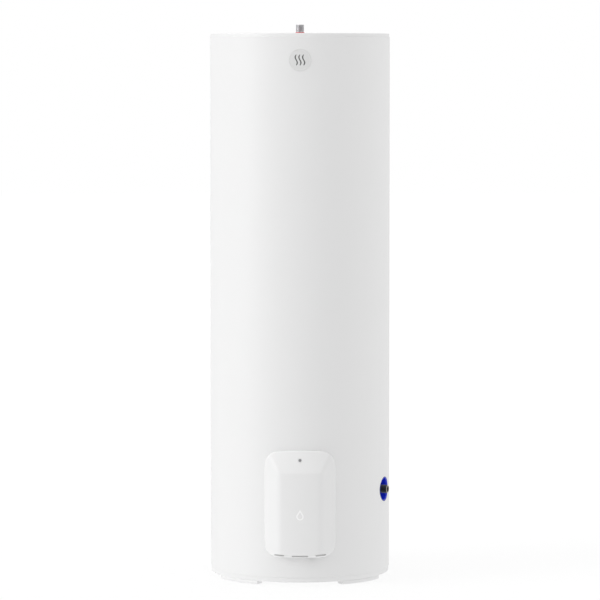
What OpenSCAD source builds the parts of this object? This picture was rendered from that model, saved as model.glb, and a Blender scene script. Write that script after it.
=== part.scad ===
// Floor-standing electric tank water heater: an enamelled steel tank in rigid foam,
// inside a painted sheet-steel jacket with a moulded lid, pan and feet. The heating
// element, anode and thermostat sit on a side flange behind a clip-on front cover.
// Millimetres, +Z up. The origin is the centre of the footprint on the floor, and
// the front of the heater faces -Y.

/* [Jacket] */
// Outer diameter of the painted jacket
jacket_d = 575; // [540:5:620]
// Thickness of the jacket's sheet
jacket_t = 0.8; // [0.6:0.1:1.2]
// Width of the lock seam down the back
seam_w = 10; // [6:1:16]
// How far the lock seam stands off the jacket
seam_h = 1.2; // [0.8:0.1:2]
// Foam thickness between the jacket and the tank
insulation = 39.2; // [36:0.2:44]

/* [Heights] */
// Height of the lid's rim above the floor
body_h = 1738; // [1200:2:1900]
// How far the hot outlet pipe stands above the lid's rim
outlet_rise = 29; // [27:1:45]
// Height of the feet under the pan
foot_h = 11; // [10:1:20]
// Height of lid left showing above the jacket
cap_show = 12.5; // [9:0.5:20]
// Height of pan left showing below the jacket
pan_show = 16.5; // [9:0.5:20]

/* [Lid and pan] */
// How far the lid and pan lie inside the jacket's outer face
cap_inset = 1.7; // [1.5:0.1:2.5]
// Wall of the lid and pan
cap_t = 2.5; // [2:0.1:4]
// How deep the lid and pan plug into the jacket
cap_plug = 20; // [12:1:30]
// Depth of the lid's dished middle
lid_dish = 6; // [4:0.5:6.5]
// Width of the lid's flat rim
lid_rim = 18; // [12:1:30]
// Radial run of the slope from the rim down to the dish
lid_slope = 8; // [4:1:14]
// Radius of the drain hole in the pan
drain_r = 12; // [6:1:20]

/* [Feet] */
// Angle that one foot covers
foot_span = 33.5; // [26:0.5:44]
// Radial width of a foot
foot_w = 33; // [28:1:36]
// Bolt radius of the foot bolts
foot_bolt_r = 3; // [2.5:0.5:3.5]

/* [Tank] */
// Thickness of the tank's steel
tank_t = 2; // [1.8:0.1:3]
// Height of each dished end
dome_h = 95; // [80:1:110]
// Height of the tank's lower seam above the floor
tank_z = 153; // [140:1:170]
// Foam over the top of the tank
top_foam = 24; // [18:1:40]
// Inner radius of the skirt that carries the tank
skirt_r = 205; // [190:1:215]
// Thickness of the skirt and its base ring
skirt_t = 3; // [2.5:0.1:4]

/* [Pipes] */
// Outer diameter of the 3/4 inch pipe thread
thread_d = 26.44; // [26:0.02:27]
// Bore of the pipes
pipe_bore = 20; // [18:0.5:21]
// Length of pipe thread at each end that takes a fitting
thread_len = 22; // [18:1:24]
// Height of the cold inlet above the floor
inlet_z = 284.5; // [270:0.5:420]
// Angle of the cold inlet round from the front
inlet_az = 70; // [60:1:110]
// How far the cold inlet pipe stands out past the jacket
inlet_rise = 12; // [6:1:20]
// Outer radius of the blue collar round the cold inlet
cup_r = 38; // [34:1:42]
// Depth of the recess round the cold inlet
cup_depth = 26; // [20:1:30]
// Height of the red ring above the lid's rim
ring_rise = 4.5; // [3:0.5:6]

/* [Front cover] */
// Width of the front cover
cover_w = 225; // [219:1:240]
// Height of the front cover
cover_h = 336; // [328:1:350]
// Height of the cover's middle above the floor
cover_z = 262; // [261:1:300]
// How far the cover's panel stands off the jacket
cover_out = 31; // [30:0.5:36]
// Wall of the cover
cover_t = 2.5; // [2:0.1:3]
// How far the cover's edge stands off the jacket
cover_rim = 8; // [6.5:0.5:10]
// Height of the sloping band at the top of the cover
slope_h = 69; // [60:1:75]
// Half the width of the cover's middle panel
panel_half = 68; // [62:1:70]
// Bevel between the panel and the cover's lower edge
cover_bevel = 7; // [5:0.5:9]
// Distance of the cover's screw below the top edge
screw_drop = 29; // [26:0.5:31]
// Radius of the recess round the cover's screw
screw_well_r = 6; // [5.5:0.25:7]
// Width of the middle slot in the lower edge
slot_w = 52; // [44:1:54]
// Width of each outer slot
side_slot_w = 32; // [26:1:34]
// Height of the slots
slot_h = 4; // [3.5:0.25:4.5]
// Distance of the outer slots' middle from the centre line
side_slot_x = 65; // [64:1:67]
// Height of the drop symbol's middle above the floor
drop_z = 230; // [205:1:260]
// Height of the drop symbol
drop_h = 33; // [24:1:40]
// Width of the drop symbol's stroke
drop_stroke = 4; // [2.5:0.25:4.5]

/* [Electrical compartment] */
// Width of the opening in the jacket
open_w = 176; // [172:1:178]
// Height of the opening in the jacket
open_h = 252; // [246:1:254]
// Height of the opening's middle above the floor
open_z = 253; // [252:1:255]
// Height of the heating flange's middle above the floor
flange_z = 243; // [239:1:246]
// Outer radius of the heating flange
flange_r = 80; // [78:0.5:82]
// Thickness of the heating flange
flange_t = 6; // [5:0.5:7]
// Radius of the flange's stud circle
stud_circle = 68; // [67:0.5:69]
// Length of the element's sheath inside the tank
sheath_len = 400; // [250:5:440]
// Length of the anode inside the tank
anode_len = 330; // [200:5:400]
// Bore for the supply cable in the gland
cable_bore = 11; // [8:0.5:12]

/* [Badge and plate] */
// Diameter of the round badge
badge_d = 70; // [50:1:90]
// Distance of the badge's middle below the lid's rim
badge_drop = 84; // [70:1:200]
// Thickness of the badge
badge_t = 1.6; // [1:0.1:2.5]

/* [Hidden] */
$fn = 96;

// Clearances
eps = 0.01;
fit = 0.6;        // between curved faces that lie side by side
running = 0.08;   // round a shaft or button that moves in its bore
seat = 0.1;       // between a moving piece and what it rests on
weld = 0.1;       // round a pipe or neck where it is welded through a wall
drill = 0.3;      // radial room of a screw in its hole

// Levels and radii
R = jacket_d / 2;
sheet_in = R - jacket_t;
tank_r = sheet_in - insulation;
cap_r = R - cap_inset;
axis_y = (cover_out - seam_h) / 2;    // puts the footprint's middle on the origin
jacket_z0 = foot_h + pan_show;
jacket_z1 = body_h - cap_show;
bead_h = 1.2;
bead_r = R - 0.2;
pan_floor = foot_h + cap_t;
pan_top = jacket_z0 + cap_plug;
lid_bottom = jacket_z1 - cap_plug;
lid_floor = body_h - lid_dish;
tank_top = lid_floor - cap_t - top_foam - dome_h;
outlet_end = body_h + outlet_rise;
pipe_r = thread_d / 2 - 0.25;         // plain part of a pipe, under the thread's crests
ring_z = pan_floor + skirt_t;
ring_r = cap_r - cap_t - 4;
foot_count = 4;
foot_pitch = 360 / foot_count;
foot_bolt_circle = cap_r - foot_w / 2 - 3;
foot_bolt_swing = foot_span / 4;
foot_nut_r = foot_bolt_r * 1.9;
foot_nut_h = foot_bolt_r * 1.6;

// Depths along the front, measured out from the tank's axis
neck_r = 62;
neck_bore = 56;
neck_in = 16;         // how far the neck reaches into the tank
neck_room = 40;       // beyond any piece of the neck, for the holes cut for it
stud_count = 6;
ring_t = 8;
neck_out = tank_r + 6.5;
gasket_at = neck_out + ring_t;
gasket_t = 3;
plate_at = gasket_at + gasket_t;
face_at = plate_at + flange_t;
pocket_at = neck_out - 2;
stud_r = 4;
nut_r = 7.4;
nut_h = 6.5;

// What the flange carries, measured from the flange's middle
sheath_r = 26;
sheath_t = 2;
sheath_up = -22;
well_at = [24, 26];
well_r = 8;
well_t = 1;
well_len = 300;
anode_at = [-36, 18];
anode_r = 13;
core_r = 4;
earth_at = [35, -52];
body_back = face_at + 10;
body_depth = 24;
body_w = 96;
body_hh = 46;
body_up = 35;
knob_x = 22;
knob_r = 10;
dial_shaft_r = 3;
button_r = 4;
button_travel = 2;
head_r = 29;
head_t = 10;

// The cover's own levels
panel_r = R + cover_out;
cover_top = cover_z + cover_h / 2;
cover_bottom = cover_z - cover_h / 2;
slope_foot = cover_top - slope_h;
screw_z = cover_top - screw_drop;
screw_seat = R + cover_rim + 0.7;
seat_t = 3;
screw_r = 2;
screw_bite = screw_seat - R - 1.5;
frame_t = 2;
collar_t = 2;
collar_in = plate_at - 3;
edge_power_x = 6;     // squareness of the outline's sides
edge_power_up = 6;    // squareness of its upper edge
edge_power_down = 10; // squareness of its lower edge
slot_up = cover_t + slot_h / 2 + 0.5;
side_slot_up = slot_up + 2.6;
slot_tilt = 2.5;
tongue_gap = 1;       // round each tongue in its slot
gland_x = 37.5;
gland_depth = R + 10;
gland_r = 8;
shelf_z = cover_bottom + slot_up + slot_h / 2 + 4;
shelf_t = 3;

white = [0.93, 0.93, 0.93];
enamel = [0.1, 0.12, 0.2];
steel = [0.7, 0.71, 0.72];

// ---- helpers ----

// Puts a piece on the front: its X is the heater's X, its Y is up and its Z points forward
module on_front(x, z, depth) translate([x, -depth, z]) rotate([90, 0, 0]) children();

// The same, turned round to the cold inlet
module at_inlet(depth) rotate([0, 0, inlet_az]) on_front(0, inlet_z, depth) children();

module tube(r_out, r_in, h) difference() {
    cylinder(r = r_out, h = h);
    translate([0, 0, -1]) cylinder(r = r_in, h = h + 2);
}

module rounded_rect(w, h, r) {
    square([w - 2 * r, h], center = true);
    square([w, h - 2 * r], center = true);
    for (x = [-1, 1], y = [-1, 1])
        translate([x * (w / 2 - r), y * (h / 2 - r)]) circle(r = r);
}

// Places a copy of a piece at each stud, in the flange's own plane
module each_stud() for (i = [0:stud_count - 1])
    rotate([0, 0, 360 / stud_count * (i + 0.5)]) translate([stud_circle, 0, 0]) children();

// Places a copy of a piece at each foot bolt, on the floor
module each_foot_bolt() for (i = [0:foot_count - 1], s = [-1, 1])
    rotate([0, 0, foot_pitch * (i + 0.5) + s * foot_bolt_swing])
        translate([foot_bolt_circle, 0, 0]) children();

// Places a copy of a piece at each rivet of the cover's frame, pointing out of the jacket
rivet_az = asin((open_w / 2 + cover_w / 2 - cover_t) / 2 / R);
module each_rivet() for (s = [-1, 1], z = [open_z - open_h / 4, open_z + open_h / 4])
    rotate([0, 0, s * rivet_az]) on_front(0, z, R) children();

// Half of an ellipse of half-width a and height b, from the rim in to the radius r_end
function dome_arc(a, b, r_end, steps = 24) =
    let (t_end = acos(r_end / a))
    [for (i = [0:steps]) [a * cos(t_end * i / steps), b * sin(t_end * i / steps)]];
function flipped(points) = [for (i = [len(points) - 1:-1:0]) points[i]];
function raised(points, z) = [for (p = points) [p[0], p[1] + z]];
function lowered(points, z) = [for (p = points) [p[0], z - p[1]]];

// The front cover's outline: a rectangle with bowed sides and soft corners
function power(v, p) = sign(v) * pow(abs(v), 2 / p);
function cover_outline(inset, steps = 72) = [for (i = [0:steps - 1])
    let (t = 360 * i / steps)
    [(cover_w / 2 - inset) * power(cos(t), edge_power_x),
     (cover_h / 2 - inset) * power(sin(t), t < 180 ? edge_power_up : edge_power_down)]];
module cover_prism(inset, from, to)
    on_front(0, cover_z, from) linear_extrude(to - from) polygon(cover_outline(inset));
module opening_prism(inset, from, to) on_front(0, open_z, from)
    linear_extrude(to - from) rounded_rect(open_w - 2 * inset, open_h - 2 * inset, 20 - inset);

// A round tube swept along a cubic curve from a to d
function curve_point(a, b, c, d, t) =
    pow(1 - t, 3) * a + 3 * t * pow(1 - t, 2) * b + 3 * t * t * (1 - t) * c + pow(t, 3) * d;
function unit(v) = v / norm(v);
module swept_wire(a, b, c, d, r, rings = 14, sides = 8) {
    path = [for (i = [0:rings]) curve_point(a, b, c, d, i / rings)];
    points = [for (i = [0:rings])
        let (ahead = i == rings ? path[i] - path[i - 1] : path[i + 1] - path[i],
             behind = i == 0 ? ahead : path[i] - path[i - 1],
             along = unit(ahead + behind),
             u = unit(cross(along, [0, 1, 0])),
             v = cross(along, u))
        for (k = [0:sides - 1])
            let (s = 360 * k / sides)
            path[i] + r * cos(s) * u + r * sin(s) * v];
    walls = [for (i = [0:rings - 1], k = [0:sides - 1])
        [i * sides + k, i * sides + (k + 1) % sides,
         (i + 1) * sides + (k + 1) % sides, (i + 1) * sides + k]];
    ends = [[for (k = [sides - 1:-1:0]) k],
            [for (k = [0:sides - 1]) rings * sides + k]];
    polyhedron(points = points, faces = concat([for (f = walls) [f[3], f[2], f[1], f[0]]],
        [flipped(ends[0]), flipped(ends[1])]));
}

// ---- tank ----

module tank_shell() color(enamel) difference() {
    translate([0, 0, tank_z]) tube(tank_r, tank_r - tank_t, tank_top - tank_z);
    on_front(0, flange_z, tank_r - neck_room) cylinder(r = neck_r + weld, h = 2 * neck_room);
    at_inlet(tank_r - 20) cylinder(r = pipe_r + weld, h = 40);
}

module tank_top_dome() color(enamel) rotate_extrude() polygon(concat(
    raised(dome_arc(tank_r, dome_h, pipe_r + weld), tank_top),
    flipped(raised(dome_arc(tank_r - tank_t, dome_h - tank_t, pipe_r + weld), tank_top))));

module tank_bottom_dome() color(enamel) rotate_extrude() polygon(concat(
    lowered(dome_arc(tank_r, dome_h, 0), tank_z),
    flipped(lowered(dome_arc(tank_r - tank_t, dome_h - tank_t, 0), tank_z))));

// How far below the lower seam the dished end lies at radius r
function dome_drop(r) = dome_h * sqrt(1 - pow(r / tank_r, 2));

module support_skirt() color(steel) difference() {
    rotate_extrude() polygon([
        [skirt_r, pan_floor], [ring_r, pan_floor], [ring_r, ring_z],
        [skirt_r + skirt_t, ring_z],
        [skirt_r + skirt_t, tank_z - weld - dome_drop(skirt_r + skirt_t)],
        [skirt_r, tank_z - weld - dome_drop(skirt_r)]]);
    each_foot_bolt() translate([0, 0, pan_floor - 1])
        cylinder(r = foot_bolt_r + drill, h = skirt_t + 2);
}

module insulation_foam() color([0.87, 0.8, 0.55]) difference() {
    rotate_extrude() polygon(concat(
        [[skirt_r + skirt_t + fit, ring_z], [cap_r - cap_t - fit, ring_z],
         [cap_r - cap_t - fit, pan_top], [sheet_in - fit, pan_top],
         [sheet_in - fit, lid_bottom], [cap_r - cap_t - fit, lid_bottom],
         [cap_r - cap_t - fit, lid_floor - cap_t], [pipe_r + fit, lid_floor - cap_t]],
        flipped(raised(dome_arc(tank_r + fit, dome_h + fit, pipe_r + fit), tank_top)),
        lowered(dome_arc(tank_r + fit, dome_h + fit, skirt_r + skirt_t + fit), tank_z)));
    opening_prism(0, pocket_at, R + 5);
    on_front(0, flange_z, tank_r - neck_room) cylinder(r = neck_r + fit, h = 2 * neck_room);
    at_inlet(tank_r - 20) cylinder(r = pipe_r + fit, h = 60);
    at_inlet(R - cup_depth - cap_t) cylinder(r = cup_r - 1.5, h = cup_depth + 20);
    each_rivet() translate([0, 0, -8]) cylinder(r = 4, h = 12);
    each_foot_bolt() translate([0, 0, ring_z - 1])
        cylinder(r = foot_nut_r + 1, h = foot_nut_h + 7);
}

// ---- casing ----

module jacket() color(white) difference() {
    union() {
        translate([0, 0, jacket_z0]) tube(R, sheet_in, jacket_z1 - jacket_z0);
        translate([-seam_w / 2, R - jacket_t / 2, jacket_z0])
            cube([seam_w, jacket_t / 2 + seam_h, jacket_z1 - jacket_z0]);
    }
    opening_prism(0, R / 2, R + 5);
    at_inlet(R / 2) cylinder(r = cup_r - 1.5, h = R);
    each_rivet() translate([0, 0, -10]) cylinder(r = 2 + seat, h = 20);
}

module top_lid() color(white) {
    edge = 1.5;
    dish_r = cap_r - lid_rim - lid_slope;
    rotate_extrude() polygon([
        [cap_r - cap_t, lid_bottom], [cap_r, lid_bottom],
        [cap_r, jacket_z1], [bead_r, jacket_z1], [bead_r, jacket_z1 + bead_h],
        [cap_r, jacket_z1 + bead_h], [cap_r, body_h - edge], [cap_r - edge, body_h],
        [cap_r - lid_rim, body_h], [dish_r, lid_floor],
        [pipe_r + 1.5, lid_floor], [pipe_r + 1.5, lid_floor - cap_t],
        [dish_r, lid_floor - cap_t], [cap_r - cap_t, lid_floor - cap_t]]);
}

module bottom_pan() color(white) difference() {
    edge = 1;
    rotate_extrude() polygon([
        [drain_r, foot_h], [cap_r - edge, foot_h], [cap_r, foot_h + edge],
        [cap_r, jacket_z0 - bead_h], [bead_r, jacket_z0 - bead_h], [bead_r, jacket_z0],
        [cap_r, jacket_z0], [cap_r, pan_top], [cap_r - cap_t, pan_top],
        [cap_r - cap_t, pan_floor], [drain_r, pan_floor]]);
    each_foot_bolt() translate([0, 0, foot_h - 1])
        cylinder(r = foot_bolt_r + drill, h = cap_t + 2);
}

// A foot: a block that follows the pan's rim, with two sunk bolt holes
module foot(place) color(white) difference() {
    edge = 1.2;
    rotate([0, 0, foot_pitch * (place + 0.5) - foot_span / 2]) rotate_extrude(angle = foot_span)
        polygon([[cap_r - foot_w, 0], [cap_r - edge, 0], [cap_r, edge],
                 [cap_r, foot_h], [cap_r - foot_w, foot_h]]);
    each_foot_bolt() translate([0, 0, -1]) {
        cylinder(r = foot_bolt_r + drill, h = foot_h + 2);
        cylinder(r = foot_bolt_r * 2 + 1, h = foot_h / 2 + 1);
    }
}
module foot_rear_right() foot(0);
module foot_rear_left() foot(1);
module foot_front_left() foot(2);
module foot_front_right() foot(3);

module foot_bolts() color(steel) each_foot_bolt() difference() {
    union() {
        translate([0, 0, foot_h / 2 - foot_bolt_r * 1.2])
            cylinder(r = foot_bolt_r * 2, h = foot_bolt_r * 1.2);
        translate([0, 0, foot_h / 2 - 1])
            cylinder(r = foot_bolt_r, h = ring_z - foot_h / 2 + foot_nut_h + 3);
    }
    translate([0, 0, foot_h / 2 - foot_bolt_r * 1.2 - 1])
        cylinder(r = foot_bolt_r * 0.9, h = foot_bolt_r * 0.7 + 1, $fn = 6);
}

module foot_nuts() color(steel) each_foot_bolt() translate([0, 0, ring_z]) difference() {
    cylinder(r = foot_nut_r, h = foot_nut_h, $fn = 6);
    translate([0, 0, -1]) cylinder(r = foot_bolt_r + seat, h = foot_nut_h + 2);
}

module badge() color([0.8, 0.8, 0.81]) intersection() {
    on_front(0, body_h - badge_drop, R / 2) cylinder(r = badge_d / 2, h = R);
    translate([0, 0, body_h - badge_drop - badge_d]) tube(R + badge_t, R + seat, badge_d * 2);
}

plate_w = 110;
plate_h = 70;
plate_t = 0.6;
plate_az = 150;
module rating_plate() color([0.8, 0.8, 0.8]) intersection() {
    rotate([0, 0, -plate_az]) on_front(0, inlet_z + plate_h, R / 2)
        linear_extrude(R) rounded_rect(plate_w, plate_h, 4);
    translate([0, 0, inlet_z]) tube(R + plate_t, R + seat, plate_h * 2);
}

// ---- pipes ----

// A stub of pipe along +Z whose outer end is threaded, with the thread as a plain land
module pipe_stub(length) difference() {
    union() {
        cylinder(r = pipe_r, h = length - thread_len + eps);
        translate([0, 0, length - thread_len]) cylinder(r = thread_d / 2, h = thread_len - 1);
        translate([0, 0, length - 1]) cylinder(r1 = thread_d / 2, r2 = thread_d / 2 - 1, h = 1);
    }
    translate([0, 0, -1]) cylinder(r = pipe_bore / 2, h = length + 2);
}

hot_inner_end = tank_top + dome_h - 12;
module hot_outlet_pipe() color(steel)
    translate([0, 0, hot_inner_end]) pipe_stub(outlet_end - hot_inner_end);

module hot_outlet_ring() color([0.8, 0.08, 0.1]) translate([0, 0, lid_floor]) difference() {
    union() {
        cylinder(r = pipe_r + 8, h = 2);
        cylinder(r = pipe_r + 1, h = lid_dish + ring_rise);
    }
    translate([0, 0, -1]) cylinder(r = pipe_r + seat, h = lid_dish + ring_rise + 2);
}

inlet_inner_end = tank_r - 30;
module cold_inlet_pipe() color(steel)
    at_inlet(inlet_inner_end) pipe_stub(R + inlet_rise - inlet_inner_end);

module cold_inlet_cup() color([0.04, 0.07, 0.55]) {
    lip = 1.2;
    wall = 2;
    difference() {
        union() {
            intersection() {
                at_inlet(R - cup_depth - cap_t) cylinder(r = cup_r - 2, h = cup_depth + 20);
                translate([0, 0, inlet_z - cup_r]) cylinder(r = R + lip, h = 2 * cup_r);
            }
            intersection() {
                at_inlet(R / 2) cylinder(r = cup_r, h = R);
                translate([0, 0, inlet_z - cup_r]) tube(R + lip, R + seat, 2 * cup_r);
            }
        }
        at_inlet(R - cup_depth) cylinder(r = cup_r - 2 - wall, h = cup_depth + 20);
        at_inlet(R - cup_depth - 20) cylinder(r = pipe_r + fit, h = 40);
    }
}

// A cap over the pipe's inner end that turns the cold water down and sideways
module cold_inlet_diffuser() color([0.85, 0.85, 0.82]) {
    reach = 26;
    wall = 2.5;
    sleeve = 14;        // how far the cap slips over the pipe
    side = 2 * pipe_r;  // wider than the cap, for its side opening
    lip = 3;            // how far the opening stays from the cap's middle
    difference() {
        at_inlet(inlet_inner_end - reach) cylinder(r = pipe_r + seat + wall, h = reach + sleeve);
        at_inlet(inlet_inner_end - reach + wall) cylinder(r = pipe_bore / 2, h = reach);
        at_inlet(inlet_inner_end) cylinder(r = pipe_r + seat, h = sleeve + 1);
        at_inlet(inlet_inner_end - reach + wall + 2) translate([-side, -side, 0])
            cube([2 * side, side - lip, reach - wall - 6]);
    }
}

// ---- heating flange and what it carries ----

module flange_neck() color(enamel) difference() {
    union() {
        on_front(0, flange_z, tank_r - neck_in)
            cylinder(r = neck_r, h = neck_out - tank_r + neck_in + eps);
        on_front(0, flange_z, neck_out) cylinder(r = flange_r, h = ring_t);
    }
    on_front(0, flange_z, tank_r - neck_room) cylinder(r = neck_bore, h = 2 * neck_room);
    on_front(0, flange_z, neck_out + ring_t / 2) each_stud()
        cylinder(r = stud_r + seat, h = ring_t);
}

module flange_studs() color(steel) on_front(0, flange_z, neck_out + ring_t / 2) each_stud()
    cylinder(r = stud_r, h = ring_t / 2 + gasket_t + flange_t + nut_h + 3);

module flange_gasket() color([0.12, 0.12, 0.12]) on_front(0, flange_z, gasket_at) difference() {
    tube(flange_r, neck_bore, gasket_t);
    each_stud() translate([0, 0, -1]) cylinder(r = stud_r + drill, h = gasket_t + 2);
}

module heater_flange() color(enamel) on_front(0, flange_z, plate_at) difference() {
    cylinder(r = flange_r, h = flange_t);
    each_stud() translate([0, 0, -1]) cylinder(r = stud_r + drill, h = flange_t + 2);
    translate([0, sheath_up, -1]) cylinder(r = sheath_r + weld, h = flange_t + 2);
    translate([well_at[0], well_at[1], -1]) cylinder(r = well_r + weld, h = flange_t + 2);
    translate([anode_at[0], anode_at[1], -1]) cylinder(r = core_r + weld, h = flange_t + 2);
    translate([earth_at[0], earth_at[1], flange_t / 2]) cylinder(r = 2 + seat, h = flange_t);
}

module flange_nuts() color(steel) on_front(0, flange_z, face_at) each_stud() difference() {
    union() {
        cylinder(r = nut_r + 1, h = 1.2);
        translate([0, 0, 1.2]) cylinder(r = nut_r, h = nut_h - 1.2, $fn = 6);
    }
    translate([0, 0, -1]) cylinder(r = stud_r + seat, h = nut_h + 2);
}

module element_sheath() color(enamel) on_front(0, flange_z + sheath_up, face_at - sheath_len) {
    difference() {
        cylinder(r = sheath_r, h = sheath_len);
        translate([0, 0, 3]) cylinder(r = sheath_r - sheath_t, h = sheath_len);
    }
}

segment_count = 8;
segment_gap = 0.5;
segment_len = (sheath_len - 60) / segment_count;
coil_circle = 16;
coil_r = 3.2;
segments_at = face_at - sheath_len + 18;
module ceramic_segments() color([0.93, 0.9, 0.82])
    on_front(0, flange_z + sheath_up, segments_at) for (i = [0:segment_count - 1])
        translate([0, 0, i * segment_len]) difference() {
            cylinder(r = sheath_r - sheath_t - 1.5, h = segment_len - segment_gap);
            translate([0, 0, -1]) cylinder(r = 3 + fit, h = segment_len + 2);
            for (k = [0:5]) rotate([0, 0, 60 * k]) translate([coil_circle, 0, -1])
                cylinder(r = coil_r + 0.4, h = segment_len + 2);
        }

module heating_coils() color([0.55, 0.5, 0.45])
    on_front(0, flange_z + sheath_up, segments_at + 4) for (k = [0:5])
        rotate([0, 0, 60 * k]) translate([coil_circle, 0, 0])
            cylinder(r = coil_r, h = segment_count * segment_len - 8);

module element_tie_rod() color(steel) on_front(0, flange_z + sheath_up, segments_at - 6) {
    cylinder(r = 6, h = 6 - segment_gap);
    cylinder(r = 3, h = face_at - segments_at + 6);
}

module element_head() color([0.2, 0.2, 0.22]) on_front(0, flange_z + sheath_up, face_at) difference() {
    union() {
        cylinder(r = head_r, h = head_t * 0.4);
        cylinder(r = head_r - 4, h = head_t);
    }
    for (s = [-1, 1]) translate([s * 10, 0, head_t / 2]) cylinder(r = 3 + seat, h = head_t);
}

module element_terminals() color([0.8, 0.65, 0.3]) for (s = [-1, 1])
    on_front(s * 10, flange_z + sheath_up, face_at + head_t / 2) {
        cylinder(r = 3, h = head_t / 2 + 3);
        translate([0, 0, head_t / 2 + 3 - eps]) cylinder(r = 4.5, h = 2.5);
    }

module anode_rod() color([0.72, 0.72, 0.7])
    on_front(anode_at[0], flange_z + anode_at[1], plate_at - anode_len - 4)
        tube(anode_r, core_r + seat, anode_len);

module anode_core() color(steel)
    on_front(anode_at[0], flange_z + anode_at[1], plate_at - anode_len)
        cylinder(r = core_r, h = anode_len + flange_t + 8);

module anode_nut() color(steel)
    on_front(anode_at[0], flange_z + anode_at[1], face_at) difference() {
        cylinder(r = 7.4, h = 5.5, $fn = 6);
        translate([0, 0, -1]) cylinder(r = core_r + seat, h = 8);
    }

module thermowell() color(steel)
    on_front(well_at[0], flange_z + well_at[1], face_at - well_len) difference() {
        cylinder(r = well_r, h = well_len);
        translate([0, 0, 2]) cylinder(r = well_r - well_t, h = well_len);
    }

module thermostat_probes() color([0.75, 0.55, 0.35]) for (s = [-1, 1])
    on_front(well_at[0] + s * 3.2, flange_z + well_at[1], face_at - well_len + 10)
        cylinder(r = 2.8, h = body_back - face_at + well_len - 10);

// The thermostat stands on two pads against the flange
module thermostat_body() color([0.88, 0.88, 0.85]) difference() {
    union() {
        on_front(0, flange_z + body_up, body_back)
            linear_extrude(body_depth) rounded_rect(body_w, body_hh, 4);
        for (s = [-1, 1]) on_front(s * 12 + 2, flange_z + body_up + 14, face_at)
            cylinder(r = 3.5, h = body_back - face_at + 1);
    }
    on_front(knob_x, flange_z + body_up, body_back + body_depth - 10)
        cylinder(r = dial_shaft_r + running, h = 20);
    on_front(-knob_x, flange_z + body_up, body_back + body_depth - 10)
        cylinder(r = button_r + running, h = 20);
    for (x = entry_x) translate([x, -entry_depth, body_bottom - 1])
        cylinder(r = wire_r + wire_room, h = entry_in + 2);
}

module temperature_dial() color([0.75, 0.1, 0.1])
    on_front(knob_x, flange_z + body_up, body_back + body_depth - 9) difference() {
        union() {
            cylinder(r = dial_shaft_r, h = 9.5);
            translate([0, 0, 9 + 0.3]) cylinder(r = knob_r, h = 3.5);
        }
        translate([-knob_r * 0.7, -1, 9 + 2.3]) cube([knob_r * 1.4, 2, 5]);
    }

module reset_button() color([0.1, 0.45, 0.2])
    on_front(-knob_x, flange_z + body_up, body_back + body_depth - 7)
        cylinder(r = button_r, h = 7 + button_travel + 1.5);

// ---- wiring ----

wire_r = 2;
wire_room = 0.8;      // round a wire in its entry
entry_in = 5;         // how far a wire reaches into its entry
entry_x = [-36, -20, 20, 36];
entry_depth = body_back + body_depth / 2;
body_bottom = flange_z + body_up - body_hh / 2;
block_w = 54;
block_h = 20;
block_d = 24;
block_x = -8;
block_pitch = 16;
block_z = open_z - open_h / 2 + 0.5 + collar_t;
block_at = collar_in + 2;
block_entry = block_at + 16;
block_top = block_z + block_h;

module terminal_block() color([0.9, 0.88, 0.8]) difference() {
    translate([block_x - block_w / 2, -block_at - block_d, block_z])
        cube([block_w, block_d, block_h]);
    for (i = [-1:1]) {
        on_front(block_x + i * block_pitch, block_z + block_h * 0.3, block_at + block_d / 2)
            cylinder(r = 3, h = block_d);
        translate([block_x + i * block_pitch, -block_entry, block_top - entry_in - 1])
            cylinder(r = wire_r + wire_room, h = entry_in + 2);
    }
}

module terminal_screws() color([0.8, 0.65, 0.3]) for (i = [-1:1])
    on_front(block_x + i * block_pitch, block_z + block_h * 0.3, block_at + block_d / 2)
        difference() {
            cylinder(r = 2.8, h = block_d / 2 - 3);
            translate([-4, -0.5, block_d / 2 - 4.5]) cube([8, 1, 3]);
        }

// A point on a wire: across, up and out from the tank's axis
function at(x, z, depth) = [x, -depth, z];
wire_start = block_top - entry_in;
wire_end = body_bottom + entry_in;
terminal_z = flange_z + sheath_up;
terminal_depth = face_at + head_t + 4;
lug_r = 4.5 + wire_r / 10;
earth_z = flange_z + earth_at[1];

module wire_live() color([0.4, 0.22, 0.12]) swept_wire(
    at(block_x - block_pitch, wire_start, block_entry),
    at(block_x - block_pitch, wire_start + 36, block_entry + 4),
    at(entry_x[0], wire_end - 50, entry_depth),
    at(entry_x[0], wire_end, entry_depth), wire_r);
module wire_neutral() color([0.1, 0.25, 0.6]) swept_wire(
    at(block_x, wire_start, block_entry),
    at(block_x, wire_start + 36, block_entry + 6),
    at(entry_x[1], wire_end - 50, entry_depth),
    at(entry_x[1], wire_end, entry_depth), wire_r);
module wire_element_live() color([0.2, 0.2, 0.2]) swept_wire(
    at(entry_x[2], wire_end, entry_depth),
    at(entry_x[2], wire_end - 20, entry_depth),
    at(10, terminal_z + 20, terminal_depth),
    at(10, terminal_z + lug_r, terminal_depth), wire_r);
module wire_element_neutral() color([0.1, 0.25, 0.6]) swept_wire(
    at(entry_x[3], wire_end, entry_depth),
    at(entry_x[3], wire_end - 90, entry_depth + 2),
    at(-10, terminal_z - 44, terminal_depth + 2),
    at(-10, terminal_z - lug_r, terminal_depth), wire_r);
module wire_earth() color([0.35, 0.6, 0.1]) swept_wire(
    at(block_x + block_pitch, wire_start, block_entry),
    at(block_x + block_pitch, wire_start + 24, block_entry + 4),
    at(earth_at[0], earth_z - 26, face_at + wire_r + 4),
    at(earth_at[0], earth_z - lug_r, face_at + wire_r + seat), wire_r);

module earth_screw() color([0.8, 0.65, 0.3])
    on_front(earth_at[0], flange_z + earth_at[1], face_at - flange_t / 2) {
        cylinder(r = 2, h = flange_t / 2 + 1);
        translate([0, 0, flange_t / 2]) cylinder(r = 4.5, h = 2.6);
    }

// ---- cover and its frame ----

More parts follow.
